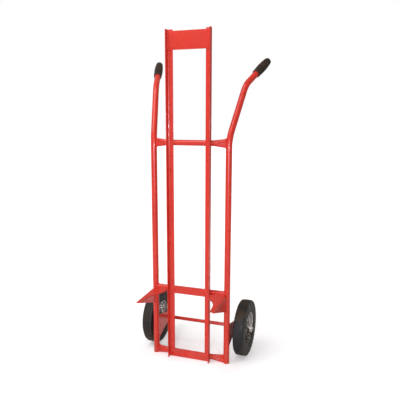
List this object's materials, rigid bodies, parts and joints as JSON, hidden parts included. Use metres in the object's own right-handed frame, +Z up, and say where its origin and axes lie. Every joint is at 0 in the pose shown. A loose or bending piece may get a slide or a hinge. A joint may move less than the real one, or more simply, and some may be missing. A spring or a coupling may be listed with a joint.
{
  "type": "hand truck",
  "caption": "Upright steel hand truck with a raised narrow load frame, forward support arms, bent handles with grips, and solid-tyred wheels on a fixed axle.",
  "frame": {"origin": "on the floor under the middle of the truck's bounding box", "axes": "+Z up, -Y towards the load, +Y towards the person pushing, +X to the left-hand side of that person"},
  "size_m": [0.5652, 0.4827, 1.4573],
  "materials": {
    "red_enamel": "gloss red enamel over welded steel, small chips and rub marks on the edges",
    "grip_rubber": "dark brown-black moulded rubber with fine lengthwise ribs",
    "tyre_rubber": "matt near-black solid rubber",
    "rim_steel": "dull silver pressed steel",
    "bush_nylon": "natural off-white moulded nylon",
    "zinc_plate": "bright zinc plate"
  },
  "bodies": {
    "frame": {"axle": "red_enamel", "bottom_cross_tube": "red_enamel", "bottom_plate": "red_enamel", "left_angle": "red_enamel", "left_arm": "red_enamel", "left_axle_gusset": "red_enamel", "left_axle_spacer": "zinc_plate", "left_grip": "grip_rubber", "left_outer_washer": "zinc_plate", "left_side_tube": "red_enamel", "left_split_pin": "zinc_plate", "middle_cross_tube": "red_enamel", "middle_plate": "red_enamel", "right_angle": "red_enamel", "right_arm": "red_enamel", "right_axle_gusset": "red_enamel", "right_axle_spacer": "zinc_plate", "right_grip": "grip_rubber", "right_outer_washer": "zinc_plate", "right_side_tube": "red_enamel", "right_split_pin": "zinc_plate", "top_plate": "red_enamel", "upper_cross_tube": "red_enamel"},
    "left_wheel": {"left_hub_sleeve": "rim_steel", "left_inner_bush": "bush_nylon", "left_inner_rim_half": "rim_steel", "left_outer_bush": "bush_nylon", "left_outer_rim_half": "rim_steel", "left_rim_bolt_1": "zinc_plate", "left_rim_bolt_2": "zinc_plate", "left_rim_bolt_3": "zinc_plate", "left_rim_bolt_4": "zinc_plate", "left_rim_nut_1": "zinc_plate", "left_rim_nut_2": "zinc_plate", "left_rim_nut_3": "zinc_plate", "left_rim_nut_4": "zinc_plate", "left_tyre": "tyre_rubber"},
    "right_wheel": {"right_hub_sleeve": "rim_steel", "right_inner_bush": "bush_nylon", "right_inner_rim_half": "rim_steel", "right_outer_bush": "bush_nylon", "right_outer_rim_half": "rim_steel", "right_rim_bolt_1": "zinc_plate", "right_rim_bolt_2": "zinc_plate", "right_rim_bolt_3": "zinc_plate", "right_rim_bolt_4": "zinc_plate", "right_rim_nut_1": "zinc_plate", "right_rim_nut_2": "zinc_plate", "right_rim_nut_3": "zinc_plate", "right_rim_nut_4": "zinc_plate", "right_tyre": "tyre_rubber"}
  },
  "joints": [
    {"name": "left_wheel_spin", "type": "hinge", "parent": "frame", "child": "left_wheel", "pos_m": [-0.2246, 0.08067, 0.13], "axis": [1, 0, 0], "continuous": true},
    {"name": "right_wheel_spin", "type": "hinge", "parent": "frame", "child": "right_wheel", "pos_m": [0.2246, 0.08067, 0.13], "axis": [1, 0, 0], "continuous": true}
  ]
}
